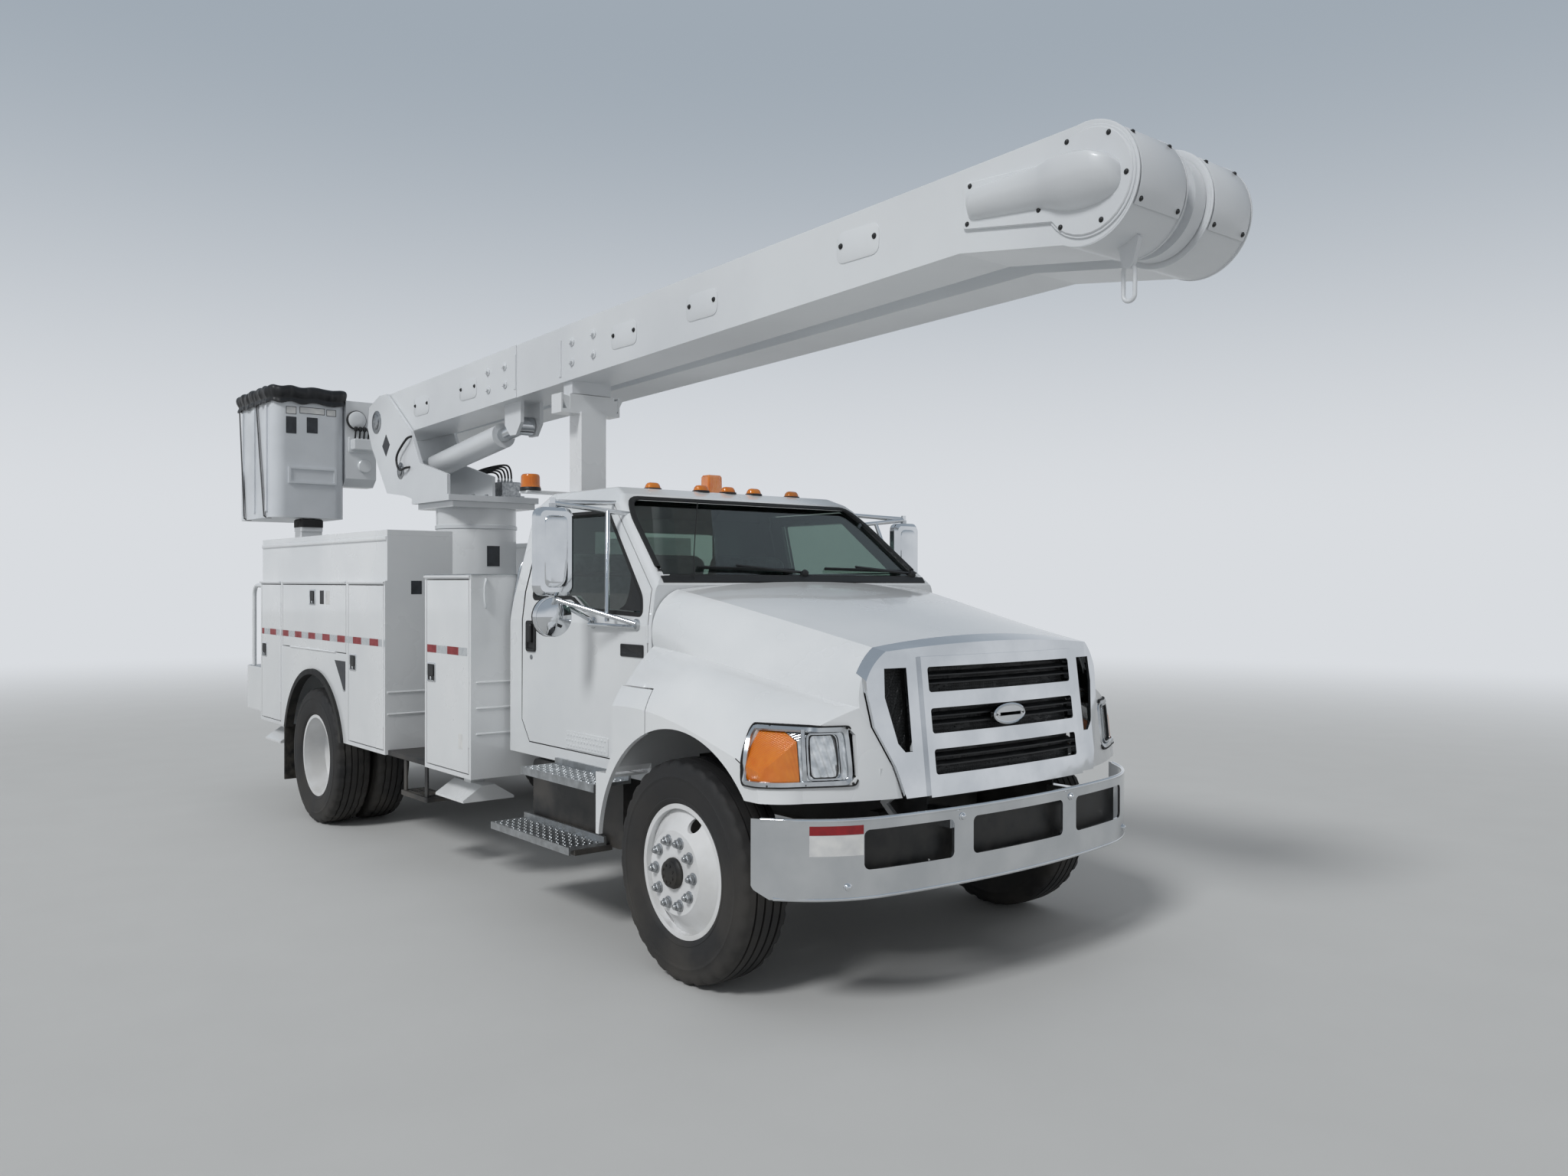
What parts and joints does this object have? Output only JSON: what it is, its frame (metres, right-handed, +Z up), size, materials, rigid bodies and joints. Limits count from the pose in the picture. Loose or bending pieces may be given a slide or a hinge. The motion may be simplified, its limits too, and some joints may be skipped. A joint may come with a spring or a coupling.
{
  "type": "cherry picker truck",
  "caption": "Two-axle bucket truck: conventional cab, service body with lockers, and a two-part folding boom that carries a covered bucket.",
  "frame": {"origin": "middle of the whole truck on the ground", "axes": "+Z up, -Y towards the truck's nose, +X towards the truck's left side"},
  "size_m": [2.69, 9.485, 3.535],
  "materials": {
    "white_paint": "gloss",
    "frame_black": "satin",
    "engine_grey": "matte",
    "tank_black": "satin",
    "step_alloy": "satin",
    "bright_chrome": "polished",
    "trim_grey": "matte",
    "seat_grey": "matte",
    "clear_glass": "polished",
    "lamp_amber": "gloss",
    "lamp_clear": "gloss",
    "rubber_black": "matte",
    "tyre_black": "matte",
    "wheel_white": "gloss",
    "rod_steel": "polished",
    "boom_white": "gloss",
    "bucket_white": "gloss",
    "cover_black": "satin"
  },
  "bodies": {
    "chassis": {"frame_rails": "frame_black", "axles": "frame_black", "powertrain": "engine_grey", "side_tanks": "tank_black", "cab_steps": "step_alloy", "front_bumper": "bright_chrome", "cab_shell": "white_paint", "cab_glass": "clear_glass", "dashboard": "trim_grey", "seats": "seat_grey", "service_body": "white_paint", "tool_cabinets": "white_paint", "pedestal": "white_paint", "boom_rest": "white_paint", "lamps": "lamp_amber", "arch_trim": "rubber_black"},
    "hood": {"hood": "white_paint", "grille": "bright_chrome", "headlamps": "lamp_clear", "corner_lamps": "lamp_amber"},
    "turret": {"turret": "white_paint"},
    "lower_boom": {"lower_boom": "boom_white"},
    "lift_barrel": {"lift_barrel": "white_paint"},
    "lift_rod": {"lift_rod": "rod_steel"},
    "elbow_hub": {"elbow_hub": "white_paint"},
    "upper_boom": {"upper_boom": "boom_white"},
    "platform": {"platform_bracket": "white_paint", "bucket": "bucket_white", "bucket_cover": "cover_black"},
    "cab_door_left": {"cab_door_left": "white_paint", "door_glass_left": "clear_glass", "mirror_left": "bright_chrome"},
    "knuckle_left": {"knuckle_left": "frame_black"},
    "wheel_front_left": {"rim_front_left": "wheel_white", "tyre_front_left": "tyre_black"},
    "wheels_rear_left": {"rims_rear_left": "wheel_white", "tyres_rear_left": "tyre_black"},
    "front_door_left": {"front_door_left": "white_paint"},
    "middle_door_left": {"middle_door_left": "white_paint"},
    "rear_door_left": {"rear_door_left": "white_paint"},
    "cabinet_door_left": {"cabinet_door_left": "white_paint"},
    "top_lid_left": {"top_lid_left": "white_paint"},
    "outrigger_front_left": {"outrigger_front_left": "white_paint"},
    "outrigger_rear_left": {"outrigger_rear_left": "white_paint"},
    "cab_door_right": {"cab_door_right": "white_paint", "door_glass_right": "clear_glass", "mirror_right": "bright_chrome"},
    "knuckle_right": {"knuckle_right": "frame_black"},
    "wheel_front_right": {"rim_front_right": "wheel_white", "tyre_front_right": "tyre_black"},
    "wheels_rear_right": {"rims_rear_right": "wheel_white", "tyres_rear_right": "tyre_black"},
    "front_door_right": {"front_door_right": "white_paint"},
    "middle_door_right": {"middle_door_right": "white_paint"},
    "rear_door_right": {"rear_door_right": "white_paint"},
    "cabinet_door_right": {"cabinet_door_right": "white_paint"},
    "top_lid_right": {"top_lid_right": "white_paint"},
    "outrigger_front_right": {"outrigger_front_right": "white_paint"},
    "outrigger_rear_right": {"outrigger_rear_right": "white_paint"}
  },
  "joints": [
    {"name": "hood_tilt", "type": "hinge", "parent": "chassis", "child": "hood", "pos_m": [0, -3.8125, 0.61], "axis": [1, 0, 0], "range_deg": [0, 60]},
    {"name": "steer_left", "type": "hinge", "parent": "chassis", "child": "knuckle_left", "pos_m": [0.86, -2.9525, 0.495], "axis": [0, 0, 1], "range_deg": [-33, 33]},
    {"name": "wheel_front_left_spin", "type": "hinge", "parent": "knuckle_left", "child": "wheel_front_left", "pos_m": [1.033, -2.9525, 0.495], "axis": [1, 0, 0], "continuous": true},
    {"name": "wheels_rear_left_spin", "type": "hinge", "parent": "chassis", "child": "wheels_rear_left", "pos_m": [0.93, 1.6705, 0.495], "axis": [1, 0, 0], "continuous": true},
    {"name": "cab_door_left_swing", "type": "hinge", "parent": "chassis", "child": "cab_door_left", "pos_m": [0.985, -2.4495, 1.2], "axis": [0, 0, -1], "range_deg": [0, 68]},
    {"name": "cabinet_door_left_swing", "type": "hinge", "parent": "chassis", "child": "cabinet_door_left", "pos_m": [1.21, -0.9595, 1.2], "axis": [0, 0, -1], "range_deg": [0, 90]},
    {"name": "front_door_left_swing", "type": "hinge", "parent": "chassis", "child": "front_door_left", "pos_m": [1.21, 0.3055, 1.2], "axis": [0, 0, -1], "range_deg": [0, 90]},
    {"name": "rear_door_left_swing", "type": "hinge", "parent": "chassis", "child": "rear_door_left", "pos_m": [1.21, 2.4005, 1.2], "axis": [0, 0, -1], "range_deg": [0, 90]},
    {"name": "middle_door_left_drop", "type": "hinge", "parent": "chassis", "child": "middle_door_left", "pos_m": [1.21, 1.6675, 1.278], "axis": [0, 1, 0], "range_deg": [0, 90]},
    {"name": "top_lid_left_lift", "type": "hinge", "parent": "chassis", "child": "top_lid_left", "pos_m": [0.75, 1.5975, 2.0751], "axis": [0, -1, 0], "range_deg": [0, 80]},
    {"name": "outrigger_front_left_drop", "type": "slide", "parent": "chassis", "child": "outrigger_front_left", "axis": [0, 0, -1], "range_m": [0, 0.49]},
    {"name": "outrigger_rear_left_drop", "type": "slide", "parent": "chassis", "child": "outrigger_rear_left", "axis": [0, 0, -1], "range_m": [0, 0.49]},
    {"name": "steer_right", "type": "hinge", "parent": "chassis", "child": "knuckle_right", "pos_m": [-0.86, -2.9525, 0.495], "axis": [0, 0, 1], "range_deg": [-33, 33]},
    {"name": "wheel_front_right_spin", "type": "hinge", "parent": "knuckle_right", "child": "wheel_front_right", "pos_m": [-1.033, -2.9525, 0.495], "axis": [1, 0, 0], "continuous": true},
    {"name": "wheels_rear_right_spin", "type": "hinge", "parent": "chassis", "child": "wheels_rear_right", "pos_m": [-0.93, 1.6705, 0.495], "axis": [1, 0, 0], "continuous": true},
    {"name": "cab_door_right_swing", "type": "hinge", "parent": "chassis", "child": "cab_door_right", "pos_m": [-0.985, -2.4495, 1.2], "axis": [0, 0, 1], "range_deg": [0, 68]},
    {"name": "cabinet_door_right_swing", "type": "hinge", "parent": "chassis", "child": "cabinet_door_right", "pos_m": [-1.21, -0.9595, 1.2], "axis": [0, 0, 1], "range_deg": [0, 90]},
    {"name": "front_door_right_swing", "type": "hinge", "parent": "chassis", "child": "front_door_right", "pos_m": [-1.21, 0.3055, 1.2], "axis": [0, 0, 1], "range_deg": [0, 90]},
    {"name": "rear_door_right_swing", "type": "hinge", "parent": "chassis", "child": "rear_door_right", "pos_m": [-1.21, 2.4005, 1.2], "axis": [0, 0, 1], "range_deg": [0, 90]},
    {"name": "middle_door_right_drop", "type": "hinge", "parent": "chassis", "child": "middle_door_right", "pos_m": [-1.21, 1.6675, 1.278], "axis": [0, -1, 0], "range_deg": [0, 90]},
    {"name": "top_lid_right_lift", "type": "hinge", "parent": "chassis", "child": "top_lid_right", "pos_m": [-0.75, 1.5975, 2.0751], "axis": [0, 1, 0], "range_deg": [0, 80]},
    {"name": "outrigger_front_right_drop", "type": "slide", "parent": "chassis", "child": "outrigger_front_right", "axis": [0, 0, -1], "range_m": [0, 0.49]},
    {"name": "outrigger_rear_right_drop", "type": "slide", "parent": "chassis", "child": "outrigger_rear_right", "axis": [0, 0, -1], "range_m": [0, 0.49]},
    {"name": "slew", "type": "hinge", "parent": "chassis", "child": "turret", "pos_m": [0, 1.5015, 2.4], "axis": [0, 0, 1], "continuous": true},
    {"name": "lift", "type": "hinge", "parent": "turret", "child": "lower_boom", "pos_m": [-0.1885, 2.5805, 3.107], "axis": [-1, 0, 0], "range_deg": [0, 80]},
    {"name": "lift_barrel_swing", "type": "hinge", "parent": "turret", "child": "lift_barrel", "pos_m": [-0.1885, 2.0675, 2.665], "axis": [-1, 0, 0], "range_deg": [0, 80.9]},
    {"name": "lift_rod_stroke", "type": "slide", "parent": "lift_barrel", "child": "lift_rod", "axis": [0, -0.993, 0.1181], "range_m": [0, 0.8705]},
    {"name": "elbow_level", "type": "hinge", "parent": "lower_boom", "child": "elbow_hub", "pos_m": [0.0625, -4.5075, 3.3], "axis": [1, 0, 0], "range_deg": [0, 80]},
    {"name": "unfold", "type": "hinge", "parent": "elbow_hub", "child": "upper_boom", "pos_m": [0.3, -4.5075, 3.3], "axis": [1, 0, 0], "range_deg": [0, 190]},
    {"name": "platform_level", "type": "hinge", "parent": "upper_boom", "child": "platform", "pos_m": [0.3, 3.8375, 3.075], "axis": [-1, 0, 0], "range_deg": [0, 190]}
  ],
  "couplings": [
    {"joint": "steer_right", "follows": "steer_left", "ratio": 1},
    {"joint": "lift_barrel_swing", "follows": "lift", "ratio": 1.01},
    {"joint": "lift_rod_stroke", "follows": "lift", "m_per_rad": 0.623},
    {"joint": "elbow_level", "follows": "lift", "ratio": 1},
    {"joint": "platform_level", "follows": "unfold", "ratio": 1}
  ]
}
